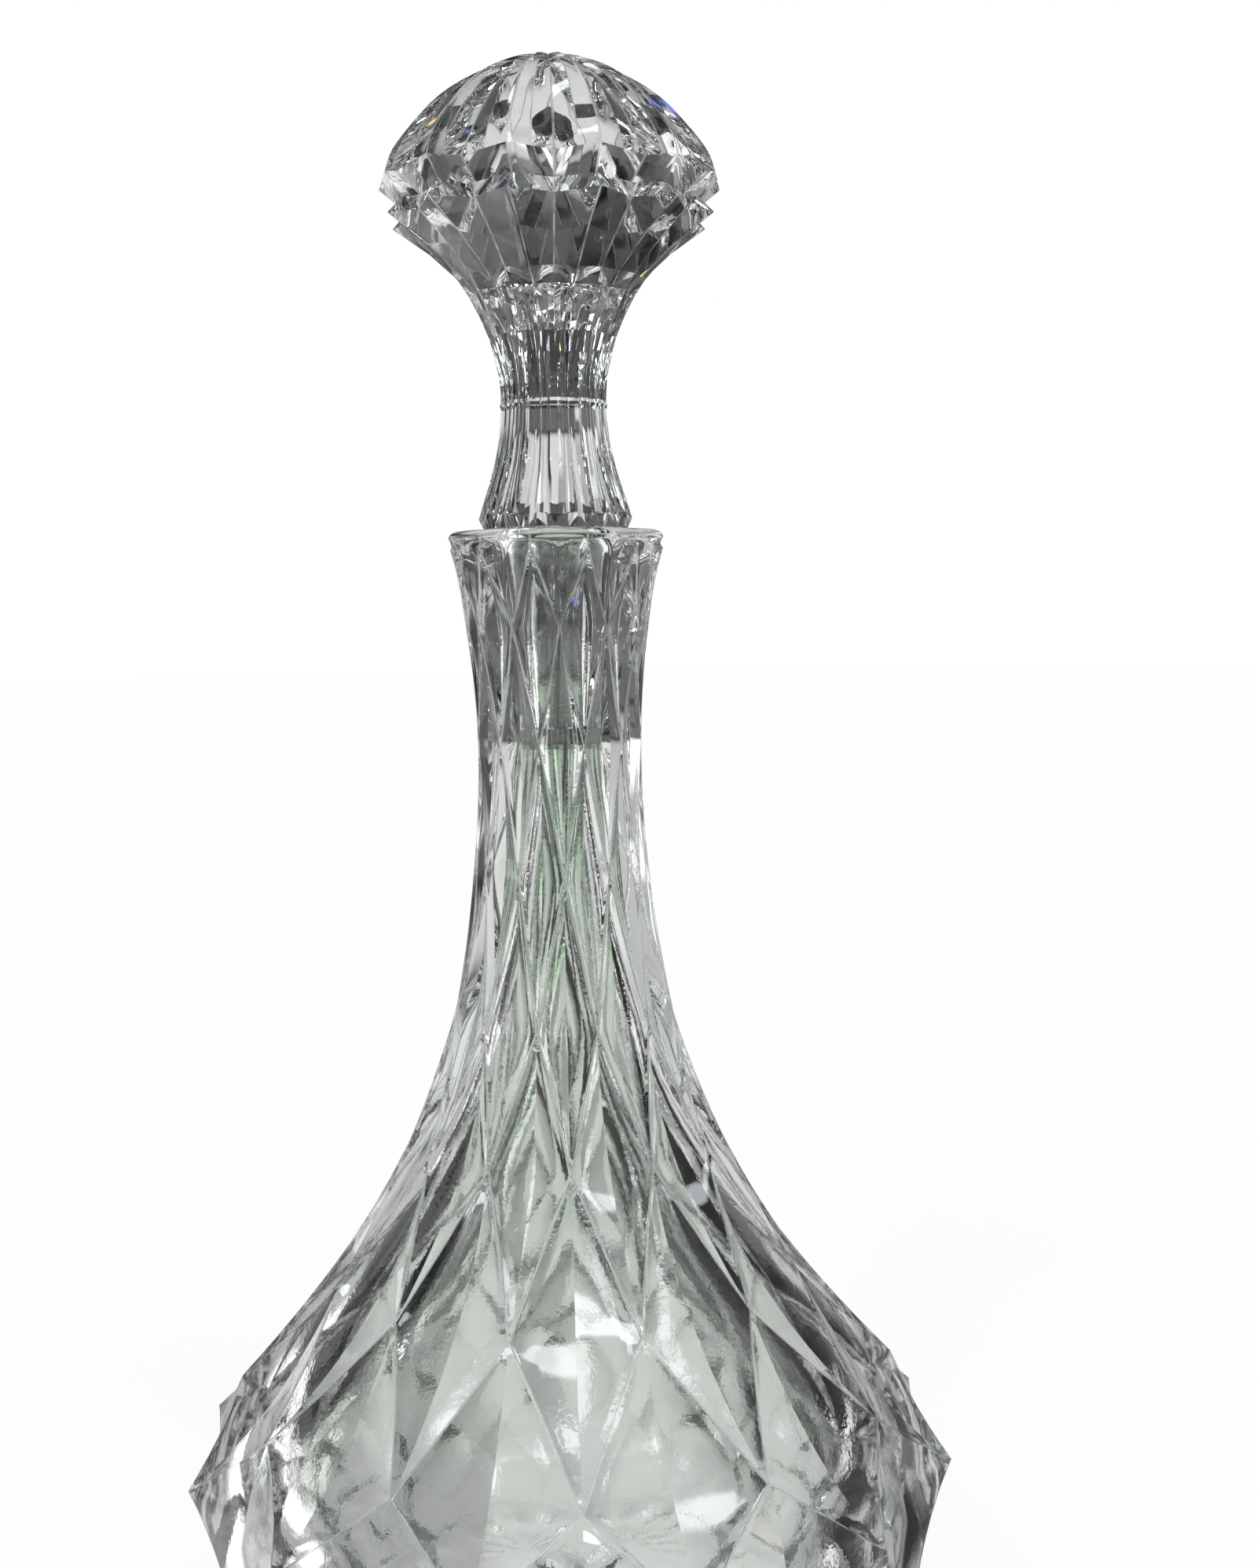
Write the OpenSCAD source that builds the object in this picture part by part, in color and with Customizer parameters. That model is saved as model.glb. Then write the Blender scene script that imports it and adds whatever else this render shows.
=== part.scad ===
/* [Cut pattern] */
// Number of vertical cut columns round the bottle and the stopper
columns = 12; // [8:2:16]
// Depth of the mitre cuts as a share of the local radius
cut_share = 0.04; // [0.01:0.005:0.05]
// Smallest depth of a mitre cut, mm
cut_min = 0.3; // [0.1:0.1:1]

/* [Bottle] */
// Height of the bottle from the base to the top of the rim, mm
rim_z = 216.8; // [200:0.2:240]
// Radius of the flat top of the rim, mm
rim_r = 18.2; // [16:0.1:20]
// Radius of the flat base, mm
base_r = 44; // [36:0.5:50]
// Depth of the star cut in the underside, mm
star_depth = 2.4; // [0.5:0.1:4]
// Thickness of glass over the star cut, mm
floor_t = 11; // [6:0.5:16]

/* [Neck and plug] */
// Radius of the tapered bore at the top of the rim, mm
bore_top = 7; // [6.5:0.1:10]
// Radius of the tapered bore at the end of the plug, mm
bore_low = 5.6; // [4.5:0.1:8]
// Gap between the ground plug and the ground bore, mm
plug_gap = 0.1; // [0.05:0.01:0.3]
// Length of the plug below the top of the rim, mm
plug_len = 34.5; // [22:0.5:40]

/* [Stopper] */
// Height of the top of the stopper over the base of the bottle, mm
top_z = 299; // [280:0.5:310]
// Radius of the points round the rim of the stopper head, mm
crown_r = 29.8; // [26:0.1:32]
// How far the flutes of the head are hollowed inside its lobes, mm
flute = 0.7; // [0:0.05:1]
// Gap between the foot of the stopper and the rim, mm
foot_gap = 0.5; // [0.3:0.1:1.5]

/* [Hidden] */
$fn = 96;
half = 180 / columns;
// Rows of points where the cuts meet, from the rim down: [radius, height].
// Rows alternate between the odd and the even columns.
rows = [
    [19.4, 213.6], [16.4, 200], [15.1, 179.5], [15.9, 156.5], [20.4, 130.5],
    [28.2, 108], [42.4, 84.5], [60, 64.2], [69.8, 51], [66.5, 33], [56, 13]
];
last = len(rows) - 1;
bore_end = rim_z - plug_len;

// A point at a column, counted in half steps from the front
function at(r, c, z) = [r * sin(c * half), -r * cos(c * half), z];
function parity(k) = (k % 2 == 0) ? 1 : 0;
function row_point(k, c) = at(rows[k][0], c, rows[k][1]);
function cut_depth(r) = cut_share * r + cut_min;
// Middle of the valley line in the diamond that sits between rows k-1 and k+1
function valley(k, c) = at(rows[k][0] * cos(half) - cut_depth(rows[k][0]), c, rows[k][1]);
// Middle of the ridge between two neighbouring rows, drawn in by the wheel
function ridge_in(r) = 0.012 * r + 0.15;
function ridge(k, c, d) =
    at((rows[k][0] + rows[k + 1][0]) / 2 - ridge_in(rows[k][0]), c + d / 2,
        (rows[k][1] + rows[k + 1][1]) / 2);

// Corner points of one diamond, top first and then clockwise from outside
function diamond(k, c) = [
    row_point(k - 1, c), ridge(k - 1, c, 1), row_point(k, c + 1), ridge(k, c + 1, -1),
    row_point(k + 1, c), ridge(k, c - 1, 1), row_point(k, c - 1), ridge(k - 1, c, -1),
    valley(k, c)
];
diamond_faces = [for (i = [0:7]) [8, i, (i + 1) % 8]];

// Half diamond at the rim, from the rim band down to row 1
function ring_point(r, z, c) = at(r, c, z);
band_r = 19.1;
band_z = rim_z - 1.2;
function rim_cell(c) = [
    ring_point(band_r, band_z, c), ring_point(band_r, band_z, c + 1), row_point(0, c + 1),
    ridge(0, c + 1, -1), row_point(1, c), ridge(0, c - 1, 1), row_point(0, c - 1),
    ring_point(band_r, band_z, c - 1), at(band_r * cos(half) - 0.5, c, rows[0][1] - 2)
];
// Half diamond over the foot, from row 9 down to the edge of the base
foot_r = base_r + 1.5;
foot_z = 1.5;
function foot_cell(c) = [
    row_point(last - 1, c), ridge(last - 1, c, 1), row_point(last, c + 1),
    ring_point(foot_r, foot_z, c + 1), ring_point(foot_r, foot_z, c),
    ring_point(foot_r, foot_z, c - 1), row_point(last, c - 1), ridge(last - 1, c, -1),
    at(rows[last][0] * cos(half) - cut_depth(rows[last][0]), c, rows[last][1])
];
// Rim top, star-cut underside and the two rounding bands
function band(r1, z1, r2, z2, c) = [
    ring_point(r1, z1, c), ring_point(r1, z1, c + 1),
    ring_point(r2, z2, c + 1), ring_point(r2, z2, c)
];
star_r = base_r - 5;
function star(c, centre) = [
    ring_point(base_r, 0, c - 1), ring_point(base_r, 0, c), ring_point(base_r, 0, c + 1),
    ring_point(star_r, 0, c + 1), at(0, 0, centre), ring_point(star_r, 0, c - 1),
    ring_point(star_r, 0, c)
];

cells = concat(
    [for (c = [0:2:2 * columns - 1]) rim_cell(c)],
    [for (k = [1:last - 1]) for (m = [0:columns - 1]) diamond(k, 2 * m + parity(k - 1))],
    [for (c = [0:2:2 * columns - 1]) foot_cell(c)]
);
cell_points = [for (cell = cells) each cell];
cell_faces = [for (i = [0:len(cells) - 1]) for (f = diamond_faces) [for (v = f) v + 9 * i]];

module faceted_shell() {
    turns = [0:2 * columns - 1];
    n = len(cell_points);
    w = 2 * columns;
    closing = concat(
        [for (c = turns) ring_point(band_r, band_z, c)],
        [for (c = turns) ring_point(rim_r, rim_z, c)],
        [for (c = turns) ring_point(foot_r, foot_z, c)],
        [for (c = turns) ring_point(base_r, 0, c)]
    );
    rim_band = [for (c = turns) [n + w + c, n + w + (c + 1) % w, n + (c + 1) % w, n + c]];
    foot_band = [for (c = turns)
        [n + 2 * w + c, n + 2 * w + (c + 1) % w, n + 3 * w + (c + 1) % w, n + 3 * w + c]];
    lid = [for (c = turns) n + w + (w - 1 - c)];
    underside = [for (c = turns) n + 3 * w + c];
    polyhedron(
        points = concat(cell_points, closing),
        faces = concat(cell_faces, rim_band, foot_band, [lid, underside]),
        convexity = 10
    );
}

// Ground bore, then the hollow of the bottle down to its thick floor
module hollow() {
    floor_z = floor_t + star_depth;
    rotate_extrude() polygon([
        [0, rim_z + 1], [bore_top + 0.06, rim_z + 1], [bore_top, rim_z], [bore_low, bore_end],
        [5.9, 170], [7.2, 156], [10, 141], [14, 124], [19.4, 109], [27.5, 95], [38, 81],
        [50, 67], [57.5, 54], [59, 43], [57.5, 31], [51, 20.5], [38, floor_z + 1.8],
        [20, floor_z + 0.3], [0, floor_z]
    ]);
}

// Shallow star of mitre cuts in the underside
module star_cut() {
    w = 2 * columns;
    rim = [for (c = [0:w - 1]) ring_point(c % 2 == 0 ? star_r : 0.62 * star_r, 0, c)];
    polyhedron(
        points = concat(rim, [[0, 0, star_depth]], [[0, 0, -1]],
            [for (p = rim) [p.x, p.y, -1]]),
        faces = concat(
            [for (c = [0:w - 1]) [w, (c + 1) % w, c]],
            [for (c = [0:w - 1]) [c, (c + 1) % w, w + 2 + (c + 1) % w, w + 2 + c]],
            [for (c = [0:w - 1]) [w + 1, w + 2 + c, w + 2 + (c + 1) % w]]
        ),
        convexity = 4
    );
}

module decanter_body() {
    color([0.86, 0.9, 0.88, 0.55])
    difference() {
        faceted_shell();
        hollow();
        star_cut();
    }
}

// Rings of the stopper head from the foot up: [radius on even columns, radius on
// odd columns, height even, height odd, bulge of the facets between them].
// Below the girdle the cuts leave ridges on even columns, above it lobes on odd ones.
foot_level = rim_z + foot_gap;
head = [
    [12.8, 12.8, foot_level, foot_level, 0],
    [13.6, 12.9, foot_level + 1.6, foot_level + 2.2, 0],
    [11, 10.4, 227.4, 227.4, 0],
    [9.8, 9.3, 233, 233, 0],
    [9.3, 8.8, 238.2, 238.2, 0],
    [9.55, 9.1, 238.8, 238.8, 0],
    [9.3, 8.8, 239.4, 239.4, 0],
    [9.6, 9.1, 244, 244, 0],
    [11.2, 10.7, 250.6, 250.6, 0],
    [12.9, 12.3, 254.6, 254.6, 0],
    [14.6, 14, 257.8, 257.8, 0],
    [16.3, 16, 260.4, 260.4, 0],
    [20.4, 22.2, 265, 266, 0],
    [25.8, 29, 270.2, 270.8, 0],
    [25.6, 26.4, 272.6, 273.4, 0],
    [crown_r, 29.2, 276, 277.6, 0],
    [26.6, 27.9, 280.2, 281.2, flute],
    [22.9, 24.4, 285, 285.8, flute],
    [18, 19.8, 290, 290.6, flute],
    [12, 14.2, 294, 294.4, 0.7 * flute],
    [5.4, 7.2, top_z - 2, top_z - 1.5, 0.4 * flute]
];

module head_glass() {
    w = 4 * columns;
    n = len(head);
    function mid_r(h) = (h[0] + h[1]) / 2 * cos(half / 2) + h[4];
    pts = [for (h = head) for (c = [0:w - 1])
        c % 4 == 0 ? at(h[0], c / 2, h[2])
        : c % 4 == 2 ? at(h[1], c / 2, h[3])
        : at(mid_r(h), c / 2, (h[2] + h[3]) / 2)];
    sides = [for (k = [0:n - 2]) for (c = [0:w - 1])
        let (a = k * w + c, b = k * w + (c + 1) % w, d = a + w, e = b + w)
        each (c % 2 == 0 ? [[a, d, e], [a, e, b]] : [[a, d, b], [b, d, e]])];
    foot = [for (c = [0:w - 1]) c];
    crown = [for (c = [0:w - 1]) [(n - 1) * w + c, n * w, (n - 1) * w + (c + 1) % w]];
    polyhedron(
        points = concat(pts, [[0, 0, top_z]]),
        faces = concat(sides, crown, [foot]),
        convexity = 6
    );
}

module stopper() {
    color([0.8, 0.84, 0.86, 0.6])
    union() {
        head_glass();
        translate([0, 0, bore_end + 0.6])
            cylinder(h = foot_level + 0.5 - bore_end - 0.6, r1 = bore_low - plug_gap,
                r2 = bore_top - plug_gap + 0.05);
        translate([0, 0, bore_end])
            cylinder(h = 0.6, r1 = bore_low - plug_gap - 0.6, r2 = bore_low - plug_gap);
    }
}

decanter_body();
stopper();
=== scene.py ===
import math

import bmesh
import bpy
from mathutils import Matrix, Vector


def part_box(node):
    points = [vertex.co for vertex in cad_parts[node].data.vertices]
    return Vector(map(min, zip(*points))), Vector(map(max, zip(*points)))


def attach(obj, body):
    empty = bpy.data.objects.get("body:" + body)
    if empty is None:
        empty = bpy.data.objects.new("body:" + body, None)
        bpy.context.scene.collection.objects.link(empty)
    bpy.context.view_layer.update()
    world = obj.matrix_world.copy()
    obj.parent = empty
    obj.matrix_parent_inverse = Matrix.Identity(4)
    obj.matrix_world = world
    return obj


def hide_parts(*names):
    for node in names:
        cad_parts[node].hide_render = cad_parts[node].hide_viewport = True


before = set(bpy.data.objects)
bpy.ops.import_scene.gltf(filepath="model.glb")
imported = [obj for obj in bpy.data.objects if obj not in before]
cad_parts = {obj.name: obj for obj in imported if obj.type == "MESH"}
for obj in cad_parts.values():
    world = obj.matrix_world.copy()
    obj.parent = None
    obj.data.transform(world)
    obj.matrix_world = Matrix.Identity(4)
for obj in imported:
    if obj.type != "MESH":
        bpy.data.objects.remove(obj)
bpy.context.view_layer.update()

# Cut crystal decanter: a bottle covered in staggered mitre cuts, and a fluted
# stopper with a ground plug. Shapes are worked out in millimetres and made in metres.

MM = 0.001
COLUMNS = 12                            # vertical columns of cuts round the axis
HALF = math.radians(180 / COLUMNS)      # half the turn from one column to the next

# ---------------------------------------------------------------- sizes, mm

RIM_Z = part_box("decanter_body")[1][2] / MM
TOP_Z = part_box("stopper")[1][2] / MM
PLUG_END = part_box("stopper")[0][2] / MM

# Rows of points where the cuts meet, from the rim down: radius, height
ROWS = [
    (19.4, RIM_Z - 3.2), (16.4, 200), (15.1, 179.5), (15.9, 156.5), (20.4, 130.5),
    (28.2, 108), (42.4, 84.5), (60, 64.2), (69.8, 51), (66.5, 33), (56, 13),
]
LAST = len(ROWS) - 1
BAND_R, BAND_Z = 19.1, RIM_Z - 1.2      # ring where the cuts end under the lip
BASE_R = 44                             # flat base
FOOT_R, FOOT_Z = BASE_R + 1.5, 1.5      # ring where the cuts end over the base
STAR_R, STAR_DEPTH = 39, 2.4            # star cut in the underside, its points and its middle
STAR_INNER = 0.62 * STAR_R              # reach of the star between its points
FLOOR_Z = 13.4                          # inside floor of the bottle, over the star cut
BORE_TOP, BORE_LOW = 7, 5.6             # radius of the ground bore at the rim and at the plug's end
PLUG_GAP = 0.1                          # between the ground plug and the bore
FOOT = RIM_Z + 0.5                      # underside of the stopper's skirt

CREST_HALF, CREST_DROP = 0.24, 0.11     # half width of a ridge's soft crest, and its wear
STEPS = 14                              # rows of faces from end to end of a diamond
RIM_STEPS = 4                           # rows of faces from the rim to the first points
BORE_STEPS, PLUG_STEPS = 10, 15         # rows of faces down the bore and down the plug
CURVE_STEPS = 5                         # rows of faces from point to point of a curve
CUT_SHARE, CUT_MIN = 0.04, 0.3          # depth of a mitre cut: share of the radius, and least
RIM_CUT, RIM_CUT_BELOW = 0.5, 2         # the cuts under the rim: depth, and how far below row 0
SAG_SHARE, SAG_MIN = 0.012, 0.15        # how far a ridge is drawn in, in the same way
LEVEL_SHARES = (0, 0.05, 0.12, 0.4, 0.7, 1)     # points of a facet that ends on a level ring

# Material slots of each piece: its cut faces, its inner or ground wall, its worn crests
CUT, WALL, WORN = 0, 1, 2


# ------------------------------------------------------------ mesh building

class Shell:
    """Gathers welded points and faces in millimetres, and makes one closed mesh."""

    def __init__(self):
        self.points, self.index, self.faces, self.slots, self.creases = [], {}, [], [], set()

    def point(self, p):
        key = (round(p[0], 3), round(p[1], 3), round(p[2], 3))
        if key not in self.index:
            self.index[key] = len(self.points)
            self.points.append(key)
        return self.index[key]

    def face(self, corners, slot=CUT):
        ids = []
        for p in corners:
            i = self.point(p)
            if i not in ids:
                ids.append(i)
        if len(ids) > 2:
            self.faces.append(ids)
            self.slots.append(slot)

    def grid(self, rows, slot=CUT, closed=False):
        """Faces between rows of points; slot may be a list, one for each column of faces."""
        for upper, lower in zip(rows, rows[1:]):
            n = len(upper)
            slots = slot if isinstance(slot, list) else [slot] * n
            for i in range(n if closed else n - 1):
                j = (i + 1) % n
                self.face([upper[i], upper[j], lower[j], lower[i]], slots[i])

    def cap(self, ring, centre, slot=CUT):
        """Fan of faces that closes a ring of points."""
        for a, b in zip(ring, ring[1:] + ring[:1]):
            self.face([a, b, centre], slot)

    def crease(self, line, closed=False):
        ids = [self.point(p) for p in line]
        if closed:
            ids.append(ids[0])
        for a, b in zip(ids, ids[1:]):
            if a != b:
                self.creases.add((min(a, b), max(a, b)))

    def build(self, name, materials, body, node, slot):
        """Mesh object that rides a body and takes the place of its node."""
        mesh = bpy.data.meshes.new(name)
        bm = bmesh.new()
        verts = [bm.verts.new((p[0] * MM, p[1] * MM, p[2] * MM)) for p in self.points]
        used = set()
        for ids, s in zip(self.faces, self.slots):
            key = tuple(sorted(ids))
            if key in used:
                continue
            used.add(key)
            f = bm.faces.new([verts[i] for i in ids])
            f.material_index = s
            f.smooth = True
        bm.verts.ensure_lookup_table()
        for a, b in self.creases:
            e = bm.edges.get((verts[a], verts[b]))
            if e is not None:
                e.smooth = False
        loose = [v for v in bm.verts if not v.link_faces]
        bmesh.ops.delete(bm, geom=loose, context="VERTS")
        bmesh.ops.recalc_face_normals(bm, faces=bm.faces)
        bm.to_mesh(mesh)
        bm.free()
        for m in materials:
            mesh.materials.append(m)
        obj = bpy.data.objects.new(name, mesh)
        bpy.context.scene.collection.objects.link(obj)
        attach(obj, body)
        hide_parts(node)
        return obj


def lerp(a, b, t):
    return a + (b - a) * t


def at(r, column, z):
    """Point at a column, counted in half steps from the front."""
    a = column * HALF
    return Vector((r * math.sin(a), -r * math.cos(a), z))


def pushed(p, outwards):
    """Point moved away from the axis."""
    r = math.hypot(p.x, p.y)
    if r < 1e-6:
        return p.copy()
    k = (r + outwards) / r
    return Vector((p.x * k, p.y * k, p.z))


def around(points, r, z):
    """The same turns round the axis as the points, at another radius and height."""
    return [Vector((p.x * r / math.hypot(p.x, p.y), p.y * r / math.hypot(p.x, p.y), z)) for p in points]


def between(p0, p1, p2, p3, t):
    """Values part of the way from p1 to p2 on a Catmull-Rom curve."""
    return [0.5 * (2 * b + (c - a) * t + (2 * a - 5 * b + 4 * c - d) * t * t
                   + (3 * b - a - 3 * c + d) * t ** 3)
            for a, b, c, d in zip(p0, p1, p2, p3)]


def spline(points, steps):
    """Curve through (radius, height) points."""
    out = []
    for i in range(len(points) - 1):
        before, after = points[max(i - 1, 0)], points[min(i + 2, len(points) - 1)]
        for s in range(steps):
            out.append(between(before, points[i], points[i + 1], after, s / steps))
    out.append(points[-1])
    return out


# -------------------------------------------------------------- the bottle

def row_point(k, column):
    return at(ROWS[k][0], column, ROWS[k][1])


def ridge_line(a, b, steps, lowered_start=True):
    """From one meeting point to the next, drawn in by the wheel and softened."""
    radius = math.hypot(a.x, a.y)
    line = []
    for i in range(steps + 1):
        s = i / steps
        sag = 4 * s * (1 - s) * (SAG_SHARE * radius + SAG_MIN)
        drop = CREST_DROP if lowered_start or i else 0
        line.append(pushed(a.lerp(b, s), -sag - drop))
    return line


def valley_line(top, middle, bottom, steps):
    """Curve along the bottom of a mitre cut, through its middle point."""
    line = []
    for i in range(steps + 1):
        v = i / steps
        line.append(top * ((1 - v) * (1 - 2 * v)) + middle * (4 * v * (1 - v))
                    + bottom * (v * (2 * v - 1)))
    return line


def valley_middle(k, column):
    r = ROWS[k][0]
    return at(r * (math.cos(HALF) - CUT_SHARE) - CUT_MIN, column, ROWS[k][1])


def level_row(a, b):
    """Points along a level ring, the short way round from a to b."""
    start, end = math.atan2(a.x, -a.y), math.atan2(b.x, -b.y)
    if end - start > math.pi:
        end -= 2 * math.pi
    if start - end > math.pi:
        end += 2 * math.pi
    r = math.hypot(a.x, a.y)
    return [at(r, lerp(start, end, u) / HALF, a.z) for u in LEVEL_SHARES]


def facet(shell, ridge, valley, level_first=False, level_last=False):
    """Ground face between a ridge and the valley line of its cut; gives its end rows."""
    rows = []
    last = len(ridge) - 1
    for i, (a, b) in enumerate(zip(ridge, valley)):
        width = (b - a).length
        if width < 1e-4:
            rows.append([a] * len(LEVEL_SHARES))
        elif (level_first and i == 0) or (level_last and i == last):
            rows.append(level_row(a, b))
        else:
            crest = min(0.2, CREST_HALF / width)
            flank = min(0.4, 2.5 * CREST_HALF / width)
            shares = (0, crest, flank, lerp(flank, 1, 1 / 3), lerp(flank, 1, 2 / 3), 1)
            row = [a.lerp(b, u) for u in shares]
            row[1] = pushed(row[1], 0.5 * CREST_DROP)
            rows.append(row)
    shell.grid(rows, [WORN] + [CUT] * (len(LEVEL_SHARES) - 2))
    shell.crease([row[-1] for row in rows])
    return rows[0], rows[-1]


def whole_diamonds(shell):
    """The diamonds between the rim and the foot, each a pair of ground faces."""
    h = STEPS // 2
    for k in range(1, LAST):
        for m in range(COLUMNS):
            c = 2 * m + k % 2
            top, low = row_point(k - 1, c), row_point(k + 1, c)
            line = valley_line(pushed(top, -CREST_DROP), valley_middle(k, c),
                               pushed(low, -CREST_DROP), STEPS)
            for side in (-1, 1):
                corner = row_point(k, c + side)
                ridge = ridge_line(top, corner, h) + ridge_line(corner, low, h)[1:]
                facet(shell, ridge, line)


def rim_diamonds(shell):
    """Half diamonds under the rim; gives the points along their level top."""
    h = STEPS // 2
    level = []
    for c in range(0, 2 * COLUMNS, 2):
        top = at(BAND_R, c, BAND_Z)
        middle = at(BAND_R * math.cos(HALF) - RIM_CUT, c, ROWS[0][1] - RIM_CUT_BELOW)
        low = pushed(row_point(1, c), -CREST_DROP)
        for side in (-1, 1):
            corner = row_point(0, c + side)
            edge = ridge_line(at(BAND_R, c + side, BAND_Z), corner, RIM_STEPS, False)
            edge += ridge_line(corner, row_point(1, c), h)[1:]
            line = valley_line(top, middle, low, len(edge) - 1)
            level += facet(shell, edge, line, level_first=True)[0]
    return level


def foot_diamonds(shell):
    """Half diamonds over the foot; gives the points along their level end."""
    h = STEPS // 2
    level = []
    for c in range(0, 2 * COLUMNS, 2):
        high = row_point(LAST - 1, c)
        for side in (-1, 1):
            corner = row_point(LAST, c + side)
            edge = ridge_line(high, corner, h) + ridge_line(corner, at(FOOT_R, c + side, FOOT_Z), h)[1:]
            edge[-1] = at(FOOT_R, c + side, FOOT_Z)
            line = valley_line(pushed(high, -CREST_DROP), valley_middle(LAST, c),
                               at(FOOT_R, c, FOOT_Z), len(edge) - 1)
            level += facet(shell, edge, line, level_last=True)[1]
    return level


def in_turn(points):
    """Points of a level ring in order round the axis, each of them once."""
    seen = {}
    for p in points:
        angle = round(math.atan2(p.x, -p.y), 6)
        seen[round(angle % (2 * math.pi), 4) % round(2 * math.pi, 4)] = p
    return [seen[a] for a in sorted(seen)]


def lip_and_hollow(shell, edge):
    """Rounded lip, flat rim, ground bore and the hollow of the bottle, down to its floor."""
    lip = [(18.98, BAND_Z + 0.42), (18.7, BAND_Z + 0.78), (18.3, BAND_Z + 1.05), (17.8, RIM_Z),
           (15, RIM_Z), (11, RIM_Z), (BORE_TOP + 0.65, RIM_Z), (BORE_TOP + 0.35, RIM_Z - 0.1),
           (BORE_TOP + 0.05, RIM_Z - 0.5)]
    bore = [(lerp(BORE_TOP, BORE_LOW, t / BORE_STEPS), lerp(RIM_Z - 0.5, PLUG_END, t / BORE_STEPS))
            for t in range(1, BORE_STEPS)]
    hollow = spline([
        (BORE_LOW, PLUG_END), (5.7, 180), (5.95, 170), (7.2, 156), (10, 141), (14, 124),
        (19.4, 109), (27.5, 95), (38, 81), (50, 67), (57.3, 54.5), (58.9, 43), (57.3, 31),
        (51, 21), (38, 15.3), (20, 13.7), (6, FLOOR_Z)], CURVE_STEPS)
    outer = [edge] + [around(edge, r, z) for r, z in lip]
    shell.grid(outer, closed=True)
    shell.crease(outer[-3], closed=True)
    inner = [outer[-1]] + [around(edge, r, z) for r, z in bore + hollow]
    shell.grid(inner, WALL, closed=True)
    shell.cap(inner[-1], Vector((0, 0, FLOOR_Z)), WALL)


def base_and_star(shell, edge):
    """Rounded edge of the base, the flat ring it stands on and the star cut inside it."""
    base = [around(edge, r, z) for r, z in (
        (BASE_R + 1.2, 0.75), (BASE_R + 0.7, 0.25), (BASE_R, 0), (BASE_R - 2.5, 0), (STAR_R, 0))]
    shell.grid([edge] + base, closed=True)
    shell.crease(base[-1], closed=True)
    star = [base[-1]]
    for share in (0.88, 0.76, 0.62, 0.48, 0.34, 0.2, 0.08):
        ring = []
        for p in base[-1]:
            column = (math.atan2(p.x, -p.y) / HALF) % 2
            reach = lerp(STAR_R, STAR_INNER, 1 - abs(column - 1))
            depth = STAR_DEPTH * max(0, 1 - share * STAR_R / reach)
            ring.append(Vector((p.x * share, p.y * share, depth)))
        star.append(ring)
    shell.grid(star, closed=True)
    centre = Vector((0, 0, STAR_DEPTH))
    shell.cap(star[-1], centre)
    for i, p in enumerate(base[-1]):
        column = math.atan2(p.x, -p.y) / HALF
        if abs(column - round(column)) < 1e-3:
            shell.crease([ring[i] for ring in star] + [centre])


def bottle():
    shell = Shell()
    whole_diamonds(shell)
    rim_level = rim_diamonds(shell)
    foot_level = foot_diamonds(shell)
    lip_and_hollow(shell, in_turn(rim_level))
    base_and_star(shell, in_turn(foot_level))
    return shell


# ------------------------------------------------------------- the stopper

FLUTE = 0.7                             # how far the flutes are hollowed inside the lobes
GIRDLE = 276                            # height of the widest ring of points
# From the foot up: radius on even columns and on odd ones, their heights, bulge of the
# facets between, how far the ring is ribbed (1) or faceted (0), and curve (1) or step (0)
# above. Below the girdle the cuts lie between ribs; the lobes of the dome are on odd columns.
HEAD = [
    (12.8, 12.8, FOOT, FOOT, 0, 1, 0),
    (13.6, 12.7, FOOT + 1.6, FOOT + 2.4, 0, 1, 1),
    (11.0, 10.2, 227.4, 227.4, 0, 1, 1),
    (9.8, 9.1, 233, 233, 0, 1, 1),
    (9.3, 8.6, 238.2, 238.2, 0, 1, 0),
    (9.55, 8.9, 238.8, 238.8, 0, 1, 0),
    (9.3, 8.6, 239.4, 239.4, 0, 1, 1),
    (9.6, 8.9, 244, 244, 0, 1, 1),
    (11.2, 10.5, 250.6, 250.6, 0, 0.7, 0),
    (12.9, 12.2, 254.6, 254.6, 0, 0.4, 0),
    (14.6, 13.8, 257.8, 257.8, 0, 0.2, 0),
    (16.3, 16.0, 260.4, 260.4, 0, 0, 0),
    (20.4, 22.2, 265, 266, 0, 0, 0),
    (25.8, 29, 270.2, 270.8, 0, 0, 0),
    (25.6, 26.4, 272.6, 273.4, 0, 0, 0),
    (29.8, 29.2, GIRDLE, GIRDLE + 1.6, 0, 0, 1),
    (26.6, 27.9, 280.2, 281.2, FLUTE, 0, 1),
    (22.9, 24.4, 285, 285.8, FLUTE, 0, 1),
    (18, 19.8, 290, 290.6, FLUTE, 0, 1),
    (12, 14.2, 294, 294.4, 0.7 * FLUTE, 0, 1),
    (5.4, 7.2, TOP_Z - 2, TOP_Z - 1.5, 0.4 * FLUTE, 0, 1),
    (1.4, 1.6, TOP_Z - 0.3, TOP_Z - 0.1, 0, 0, 0),
]
# Points of a ring from an even column to the next odd one, as shares of the way. RIB and
# MIDDLE count along them: the edge of a rib, and both sides of the line down a facet's middle.
SHARES = (0, 0.03, 0.12, 1 / 3, 0.485, 0.515, 0.7, 0.86, 0.97, 1)
RIB, MIDDLE = 3, (4, 5)
EDGE_SHARE, EDGE_DROP = 0.03, 0.04      # width and depth of the softening along a ridge
FACETED = 0.15                          # a ring less ribbed than this has facets
HOLLOW_FULLNESS = 0.8                   # below 1, the hollows between the ribs are fuller


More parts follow.
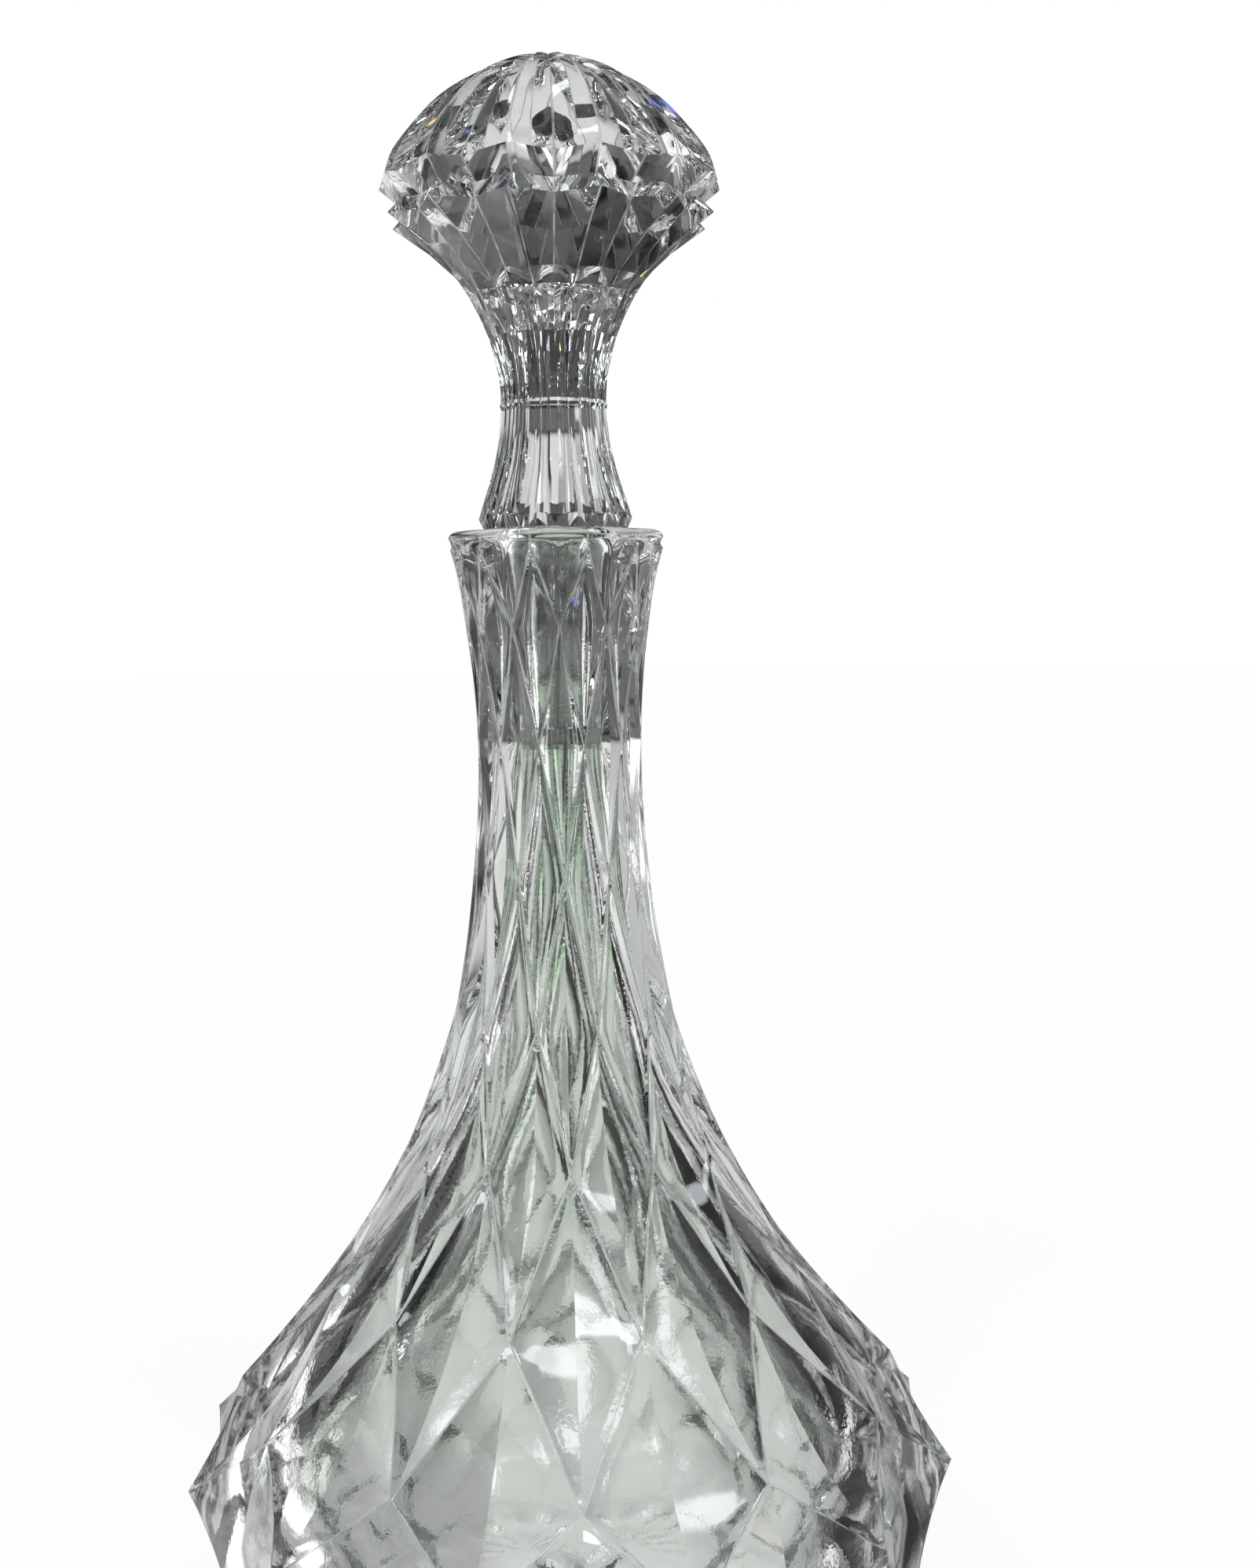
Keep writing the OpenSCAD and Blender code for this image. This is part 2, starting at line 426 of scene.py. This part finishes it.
def ring_row(even_r, odd_r, even_z, odd_z, bulge, ribbed):
    """One full turn of the stopper, through its even and its odd columns."""
    row = []
    even_end, odd_end = at(even_r, 0, 0), at(odd_r, 1, 0)
    middle = pushed(even_end.lerp(odd_end, 0.5), bulge)
    for c in range(2 * COLUMNS):
        even = c % 2 == 0
        for s in SHARES[:-1]:
            u = s if even else 1 - s
            if u <= 0.5:
                plain = even_end.lerp(middle, 2 * u)
            else:
                plain = middle.lerp(odd_end, 2 * u - 1)
            plain_r = math.hypot(plain.x, plain.y)
            turn = math.atan2(plain.x, -plain.y) / HALF
            if u <= SHARES[RIB]:
                ribbed_r = even_r * math.cos(SHARES[RIB] * HALF) / math.cos(u * HALF)
            else:
                t = (u - SHARES[RIB]) / (1 - SHARES[RIB])
                ribbed_r = lerp(even_r, odd_r, math.sin(t * math.pi / 2) ** HOLLOW_FULLNESS)
            r = lerp(plain_r, ribbed_r, ribbed)
            r -= EDGE_DROP * max(0, 1 - (1 - u) / EDGE_SHARE) * (1 - ribbed)
            turn = lerp(turn, u, ribbed)
            column = c + turn if even else c + 1 - turn
            row.append(at(r, column, lerp(even_z, odd_z, u)))
    return row


def head_rows():
    """Rings of points up the head, how ribbed each one is, and which of them are sharp edges."""
    rows, ribbed_at, edges = [], [], []
    for i, ring in enumerate(HEAD):
        curved = ring[6]
        rows.append(ring_row(*ring[:6]))
        ribbed_at.append(ring[5])
        if not curved or (i and not HEAD[i - 1][6]):
            edges.append(len(rows) - 1)
        if i == len(HEAD) - 1:
            break
        above = HEAD[i + 1]
        before = HEAD[i - 1] if curved and i and HEAD[i - 1][6] else ring
        after = HEAD[min(i + 2, len(HEAD) - 1)] if above[6] else above
        steps = CURVE_STEPS if curved else 2
        for s in range(1, steps):
            t = s / steps
            if curved:
                mixed = between(before[:5], ring[:5], above[:5], after[:5], t)
            else:
                mixed = [lerp(b, c, t) for b, c in zip(ring[:5], above[:5])]
            ribbed = lerp(ring[5], above[5], t)
            rows.append(ring_row(*mixed, ribbed))
            ribbed_at.append(ribbed)
    return rows, ribbed_at, edges


def head_creases(shell, rows, ribbed_at, edges):
    """Sharp rings, the edges of the ribs, and the ridges and middles of the facets."""
    n = len(SHARES) - 1
    for i in edges:
        shell.crease(rows[i], closed=True)
    for c in range(2 * COLUMNS):
        even = c % 2 == 0
        for i in range(len(rows) - 1):
            if ribbed_at[i] < FACETED:
                lines = [m if even else n - m for m in MIDDLE] + ([0] if even else [])
            else:
                lines = [RIB if even else n - RIB]
            for m in lines:
                shell.crease([rows[i][c * n + m], rows[i + 1][c * n + m]])


def ground_plug(shell, skirt):
    """Underside of the skirt, then the ground plug with its softened end."""
    plug_top, plug_low = BORE_TOP - PLUG_GAP, BORE_LOW - PLUG_GAP
    under = [skirt, around(skirt, 11, FOOT), around(skirt, BORE_TOP + 0.45, FOOT),
             around(skirt, plug_top + 0.06, FOOT - 0.1)]
    shell.grid(under, closed=True)
    plug = [under[-1]]
    for i in range(1, PLUG_STEPS + 1):
        t = i / PLUG_STEPS
        plug.append(around(skirt, lerp(plug_top, plug_low, t), lerp(FOOT - 0.6, PLUG_END + 0.6, t)))
    shell.grid(plug, WALL, closed=True)
    end = [plug[-1], around(skirt, plug_low - 0.2, PLUG_END + 0.25),
           around(skirt, plug_low - 0.6, PLUG_END), around(skirt, 2.5, PLUG_END)]
    shell.grid(end, closed=True)
    shell.crease(end[-2], closed=True)
    shell.cap(end[-1], Vector((0, 0, PLUG_END)))


def stopper():
    shell = Shell()
    rows, ribbed_at, edges = head_rows()
    n = len(SHARES) - 1
    worn = [WORN if k in (0, n - 1) else CUT for k in range(n)] * (2 * COLUMNS)
    fluted = [WORN if k in (0, MIDDLE[0], n - 1) else CUT for k in range(n)] * (2 * COLUMNS)
    girdle = next(i for i, row in enumerate(rows) if row[0].z > GIRDLE - 0.01)
    plain_to = next(i for i, ribbed in enumerate(ribbed_at) if i and ribbed < FACETED)
    shell.grid(rows[:plain_to + 1], closed=True)
    shell.grid(rows[plain_to:girdle + 1], worn, closed=True)
    shell.grid(rows[girdle:], fluted, closed=True)
    shell.cap(rows[-1], Vector((0, 0, TOP_Z - 0.1)))
    head_creases(shell, rows, ribbed_at, edges)
    ground_plug(shell, rows[0])
    return shell


# --------------------------------------------------------------- materials

def noise(nodes, links, vector, scale, detail):
    node = nodes.new("ShaderNodeTexNoise")
    node.inputs["Scale"].default_value = scale
    node.inputs["Detail"].default_value = detail
    links.new(vector, node.inputs["Vector"])
    return node.outputs["Fac"]


def mapped(nodes, links, value, low, high, to_low, to_high, smooth=False):
    """Value from one range to another, held at its ends."""
    node = nodes.new("ShaderNodeMapRange")
    if smooth:
        node.interpolation_type = "SMOOTHSTEP"
    node.inputs["From Min"].default_value = low
    node.inputs["From Max"].default_value = high
    node.inputs["To Min"].default_value = to_low
    node.inputs["To Max"].default_value = to_high
    links.new(value, node.inputs["Value"])
    return node.outputs["Result"]


def bump(nodes, links, height, distance):
    node = nodes.new("ShaderNodeBump")
    node.inputs["Strength"].default_value = 1
    node.inputs["Distance"].default_value = distance
    links.new(height, node.inputs["Height"])
    return node


REFRACTION = 1.54
DENSITY = 2            # how fast the tint deepens, 1/m


def crystal(name, tint, depth_tint, wave, wave_size, fine, fine_size, rough):
    """Polished lead crystal: clear, heavy, faintly tinted in its depth, with the slow
    waves of hand polishing and a finer texture, both in the surface normal. The height
    and the size of the waves and of the texture are in metres."""
    m = bpy.data.materials.new(name)
    m.use_nodes = True
    nodes, links = m.node_tree.nodes, m.node_tree.links
    nodes.clear()
    out = nodes.new("ShaderNodeOutputMaterial")
    glass = nodes.new("ShaderNodeBsdfPrincipled")
    links.new(glass.outputs["BSDF"], out.inputs["Surface"])
    glass.inputs["Base Color"].default_value = (*tint, 1)
    glass.inputs["Transmission Weight"].default_value = 1
    glass.inputs["IOR"].default_value = REFRACTION
    place = nodes.new("ShaderNodeTexCoord").outputs["Object"]
    slow = noise(nodes, links, place, 1 / wave_size, 2)
    quick = noise(nodes, links, place, 1 / fine_size, 3)
    bump_slow, bump_fine = bump(nodes, links, slow, wave), bump(nodes, links, quick, fine)
    links.new(bump_slow.outputs["Normal"], bump_fine.inputs["Normal"])
    links.new(bump_fine.outputs["Normal"], glass.inputs["Normal"])
    links.new(mapped(nodes, links, quick, 0.35, 0.75, *rough), glass.inputs["Roughness"])
    volume = nodes.new("ShaderNodeVolumeAbsorption")
    volume.inputs["Color"].default_value = (*depth_tint, 1)
    volume.inputs["Density"].default_value = DENSITY
    links.new(volume.outputs["Volume"], out.inputs["Volume"])
    return m


def worn_edge(name, mark_size):
    """Crests of the ridges, where handling has left the polish pale and broken."""
    m = bpy.data.materials.new(name)
    m.use_nodes = True
    nodes, links = m.node_tree.nodes, m.node_tree.links
    glass = nodes["Principled BSDF"]
    glass.inputs["IOR"].default_value = REFRACTION
    place = nodes.new("ShaderNodeTexCoord").outputs["Object"]
    marks = noise(nodes, links, place, 1 / mark_size, 4)
    links.new(mapped(nodes, links, marks, 0.35, 0.65, 0.95, 0.45), glass.inputs["Transmission Weight"])
    links.new(mapped(nodes, links, marks, 0, 1, 0.1, 0.4), glass.inputs["Roughness"])
    tint = nodes.new("ShaderNodeMix")
    tint.data_type = "RGBA"
    tint.inputs["A"].default_value = (0.98, 0.985, 0.98, 1)
    tint.inputs["B"].default_value = (0.9, 0.93, 0.92, 1)
    links.new(marks, tint.inputs["Factor"])
    links.new(tint.outputs["Result"], glass.inputs["Base Color"])
    return m


BOTTLE_TINTS = (0.973, 0.985, 0.969), (0.85, 0.9, 0.85)
bottle_cut = crystal("cut_crystal", *BOTTLE_TINTS, wave=0.00002, wave_size=0.011,
                     fine=0.000003, fine_size=0.0009, rough=(0.0, 0.012))
bottle_inner = crystal("blown_inner_wall", *BOTTLE_TINTS, wave=0.00009, wave_size=0.006,
                       fine=0.00003, fine_size=0.0008, rough=(0.015, 0.06))
stopper_cut = crystal("stopper_crystal", (0.9, 0.912, 0.9), (0.86, 0.88, 0.87), wave=0.00002,
                      wave_size=0.009, fine=0.000002, fine_size=0.0012, rough=(0.0, 0.012))
plug_ground = crystal("ground_plug", (0.96, 0.965, 0.965), (0.86, 0.88, 0.89), wave=0.00003,
                      wave_size=0.004, fine=0.00001, fine_size=0.0005, rough=(0.02, 0.06))
worn_crest = worn_edge("worn_crest", 0.004)

bottle().build("cut_bottle", [bottle_cut, bottle_inner, worn_crest], "bottle",
               "decanter_body", "bottle_crystal")
stopper().build("fluted_stopper", [stopper_cut, plug_ground, worn_crest],
                "stopper_lift_off", "stopper", "stopper_crystal")


# ------------------------------------------------------ studio: floor and light

FLOOR_PALE, FLOOR_PAINTED_SHADE = 0.26, 0.03     # colour of the floor in the pool, and the painted shade that darkens it beside the pool for rays from the glass
FLOOR_TO_EYE = 0.9                      # added brightness of the floor as the camera sees it
FLOOR_RINGS, FLOOR_SECTORS = (0.15, 0.4, 1, 2.5, 6), 48     # radii of its mesh, m, and parts round
FLOOR_LEVEL = -0.0002                   # just under the base, m
POOL_FULL, POOL_END = 2.4, 4.5          # reach of the pool of light on the floor, m
POOL_WIDE = 0.7                         # how much less the reach counts from side to side
POOL_LEAN = 0.12                        # how soon the pool turns from left to right, m
POOL_PAINTED = 0.3                      # light of the pool from which its floor is fully pale
# Painted light of the pool, a glow in the floor itself, from the left (0) across the middle (0.5) to
# the right (1); its dim stretches are painted shade
POOL = [
    (0.0, 1.3), (0.07, 1.3), (0.1, 0.35), (0.13, 0.35), (0.17, 1.25), (0.24, 1.25),
    (0.28, 0.35), (0.42, 0.48), (0.48, 0.74), (0.6, 0.7), (0.69, 0.45), (0.74, 0.01),
    (0.84, 0.01), (0.89, 0.9), (1.0, 0.9),
]
# Sine of the elevation, and the colour of the walls and ceiling there
WALLS = [
    (0.0, (0.13, 0.135, 0.13)), (0.2, (0.085, 0.088, 0.085)), (0.4, (0.05, 0.052, 0.05)),
    (0.7, (0.038, 0.04, 0.038)), (1.0, (0.12, 0.125, 0.13)),
]
# How much of the walls' light is left in their darker and brighter upright stretches
STRETCHES = [(0.0, 0.12), (0.39, 0.12), (0.42, 1.0), (0.62, 1.0), (0.66, 2.4), (1.0, 2.4)]
STRETCH_SIZE, STRETCH_TALL = 9.0, 0.12
# Azimuth, elevation, full and fading half angles, colour, and whether it is a dark flag
WINDOWS = [
    (-92, 0, 14, 26, (0.5, 0.52, 0.51), False),
    (104, 0, 12, 24, (0.5, 0.52, 0.51), False),
    (-150, 42, 6, 8, (9, 9.5, 10), False),
    (150, 55, 5, 7, (8, 8.3, 8.6), False),
    (-46, 66, 3, 5, (6, 6.2, 6.4), False),
    (44, 38, 2, 3, (5, 5.2, 5.4), False),
    (112, 34, 2, 3.5, (8, 8.4, 8.8), False),
    (-80, 26, 2, 3, (8, 8.4, 8.8), False),
    (-165, 12, 2, 3, (12, 12.5, 13), False),
    (170, 20, 2, 3, (12, 12.5, 13), False),
    (-24, 33, 1, 2, (3.6, 2.2, 0.5), False),
    (17, 27, 0.7, 1.6, (0.3, 0.5, 4), False),
    (58, 0, 20, 24, (0.01, 0.01, 0.01), True),
    (-118, 8, 6, 8, (0.01, 0.01, 0.01), True),
    (0, 30, 9, 13, (0.02, 0.02, 0.02), True),
]


def ramp(nodes, stops):
    """Colour ramp through (place, colour or brightness) stops."""
    node = nodes.new("ShaderNodeValToRGB")
    elements = node.color_ramp.elements
    elements.remove(elements[1])
    for i, (place, value) in enumerate(stops):
        stop = elements[0] if i == 0 else elements.new(place)
        colour = value if isinstance(value, tuple) else (value, value, value)
        stop.position, stop.color = place, (*colour, 1)
    return node


def length(nodes, links, vector):
    node = nodes.new("ShaderNodeVectorMath")
    node.operation = "LENGTH"
    links.new(vector, node.inputs[0])
    return node.outputs["Value"]


def scaled(nodes, links, vector, scale):
    node = nodes.new("ShaderNodeVectorMath")
    node.operation = "MULTIPLY"
    node.inputs[1].default_value = scale
    links.new(vector, node.inputs[0])
    return node.outputs["Vector"]


def calculated(nodes, links, operation, a, b):
    """Sum, product or quotient of an output and another output or a number."""
    node = nodes.new("ShaderNodeMath")
    node.operation = operation
    links.new(a, node.inputs[0])
    if isinstance(b, (int, float)):
        node.inputs[1].default_value = b
    else:
        links.new(b, node.inputs[1])
    return node.outputs[0]


def by_viewer(nodes, links, to_glass, to_eye):
    """One value for rays from the glass, and another for what the camera sees directly."""
    path = nodes.new("ShaderNodeLightPath")
    mix = nodes.new("ShaderNodeMix")
    links.new(path.outputs["Is Camera Ray"], mix.inputs["Factor"])
    links.new(to_glass, mix.inputs["A"])
    mix.inputs["B"].default_value = to_eye
    return mix.outputs["Result"]


def pale_floor_material():
    """Plain white to the eye; to the glass, a soft pool of painted light glowing in the floor, with
    painted shade darkening the floor's colour beside it and in its dim stretches.
    """
    m = bpy.data.materials.new("pale_floor")
    m.use_nodes = True
    nodes, links = m.node_tree.nodes, m.node_tree.links
    surface = nodes["Principled BSDF"]
    surface.inputs["Roughness"].default_value = 0.9
    place = nodes.new("ShaderNodeTexCoord").outputs["Object"]
    split = nodes.new("ShaderNodeSeparateXYZ")
    links.new(place, split.inputs[0])
    lean = calculated(nodes, links, "ADD", length(nodes, links, place), POOL_LEAN)
    across = calculated(nodes, links, "DIVIDE", split.outputs["X"], lean)
    pool = ramp(nodes, POOL)
    links.new(mapped(nodes, links, across, -1, 1, 0, 1), pool.inputs["Fac"])
    span = length(nodes, links, scaled(nodes, links, place, (POOL_WIDE, 1, 1)))
    reach = mapped(nodes, links, span, POOL_FULL, POOL_END, 1, 0, smooth=True)
    # painted light: the pool is a glow in the floor's own emission, seen by rays from the glass
    lit = calculated(nodes, links, "MULTIPLY", pool.outputs["Color"], reach)
    # painted shade: to the glass the floor's colour falls from pale in the pool to dark beside it and
    # in its dim stretches
    pale_with_painted_shade = mapped(nodes, links, pool.outputs["Color"], 0, POOL_PAINTED, FLOOR_PAINTED_SHADE, FLOOR_PALE)
    links.new(by_viewer(nodes, links, pale_with_painted_shade, FLOOR_PALE), surface.inputs["Base Color"])
    surface.inputs["Emission Color"].default_value = (1, 1, 1, 1)
    links.new(by_viewer(nodes, links, lit, FLOOR_TO_EYE), surface.inputs["Emission Strength"])
    return m


def pale_floor():
    """Large round floor under the base."""
    n = FLOOR_SECTORS
    points = [(0, 0, FLOOR_LEVEL)]
    for r in FLOOR_RINGS:
        points += [(r * math.cos(2 * math.pi * i / n), r * math.sin(2 * math.pi * i / n), FLOOR_LEVEL)
                   for i in range(n)]
    faces = [(0, 1 + i, 1 + (i + 1) % n) for i in range(n)]
    for k in range(len(FLOOR_RINGS) - 1):
        for i in range(n):
            a, b = 1 + k * n + i, 1 + k * n + (i + 1) % n
            faces.append((a, a + n, b + n, b))
    mesh = bpy.data.meshes.new("floor")
    mesh.from_pydata(points, [], faces)
    mesh.materials.append(pale_floor_material())
    obj = bpy.data.objects.new("floor", mesh)
    bpy.context.scene.collection.objects.link(obj)


def direction(azimuth, elevation):
    """Unit vector towards a part of the room: azimuth 0 is behind the object, 90 to its right."""
    a, e = math.radians(azimuth), math.radians(elevation)
    return (math.sin(a) * math.cos(e), math.cos(a) * math.cos(e), math.sin(e))


def blended(nodes, links, kind, base, added, share):
    """Two colours mixed, added or multiplied; added and share are outputs or plain values."""
    mix = nodes.new("ShaderNodeMix")
    mix.data_type = "RGBA"
    mix.blend_type = kind
    links.new(base, mix.inputs["A"])
    for value, socket in ((added, mix.inputs["B"]), (share, mix.inputs["Factor"])):
        if isinstance(value, bpy.types.NodeSocket):
            links.new(value, socket)
        else:
            socket.default_value = value
    return mix.outputs["Result"]


def room():
    """White to the camera; to the glass, a grey room with soft windows and a few dark edges."""
    world = bpy.data.worlds.new("room")
    world.use_nodes = True
    nodes, links = world.node_tree.nodes, world.node_tree.links
    nodes.clear()
    out = nodes.new("ShaderNodeOutputWorld")
    place = nodes.new("ShaderNodeTexCoord").outputs["Generated"]
    split = nodes.new("ShaderNodeSeparateXYZ")
    links.new(place, split.inputs[0])
    walls = ramp(nodes, WALLS)
    links.new(split.outputs["Z"], walls.inputs["Fac"])
    upright = scaled(nodes, links, place, (1, 1, STRETCH_TALL))
    stretches = ramp(nodes, STRETCHES)
    links.new(noise(nodes, links, upright, STRETCH_SIZE, 1), stretches.inputs["Fac"])
    light = blended(nodes, links, "MULTIPLY", walls.outputs["Color"], stretches.outputs["Color"], 1)
    for azimuth, elevation, inner, outer, colour, flag in WINDOWS:
        towards = nodes.new("ShaderNodeVectorMath")
        towards.operation = "DOT_PRODUCT"
        towards.inputs[1].default_value = direction(azimuth, elevation)
        links.new(place, towards.inputs[0])
        share = mapped(nodes, links, towards.outputs["Value"], math.cos(math.radians(outer)),
                       math.cos(math.radians(inner)), 0, 1, smooth=True)
        light = blended(nodes, links, "MIX" if flag else "ADD", light, (*colour, 1), share)
    lit, white = nodes.new("ShaderNodeBackground"), nodes.new("ShaderNodeBackground")
    links.new(light, lit.inputs["Color"])
    white.inputs["Color"].default_value = (1, 1, 1, 1)
    path = nodes.new("ShaderNodeLightPath")
    pick = nodes.new("ShaderNodeMixShader")
    links.new(path.outputs["Is Camera Ray"], pick.inputs["Fac"])
    links.new(lit.outputs[0], pick.inputs[1])
    links.new(white.outputs[0], pick.inputs[2])
    links.new(pick.outputs[0], out.inputs["Surface"])
    bpy.context.scene.world = world


pale_floor()
room()


# ------------------------------------------------------------------ camera

CAMERA_AWAY, CAMERA_UP = 0.339, 0.203           # from the axis and over the floor, m
CAMERA_ANGLES = 1.5, 5.3, 2.08, 0.78            # turn round the axis, pitch, yaw and roll, degrees
CAMERA_SENSOR, CAMERA_LENS = 36, 43.4           # mm


def camera():
    """Close view from a little below the rim, tipped down, at the photograph's angle."""
    turn, pitch, yaw, roll = (math.radians(a) for a in CAMERA_ANGLES)
    data = bpy.data.cameras.new("camera")
    data.sensor_fit = "VERTICAL"
    data.sensor_height, data.lens = CAMERA_SENSOR, CAMERA_LENS
    data.clip_start = 0.01
    cam = bpy.data.objects.new("camera", data)
    spot = Matrix.Rotation(-turn, 4, "Z") @ Matrix.Translation((0, -CAMERA_AWAY, CAMERA_UP))
    aim = (Matrix.Rotation(-yaw, 4, "Z") @ Matrix.Rotation(math.pi / 2 - pitch, 4, "X")
           @ Matrix.Rotation(-roll, 4, "Z"))
    cam.matrix_world = spot @ aim
    bpy.context.scene.collection.objects.link(cam)
    bpy.context.scene.camera = cam


camera()
scene = bpy.context.scene
scene.view_settings.view_transform = "Standard"
scene.view_settings.look = "None"
scene.cycles.max_bounces = 32
scene.cycles.transmission_bounces = 32
scene.cycles.glossy_bounces = 8
scene.cycles.diffuse_bounces = 3
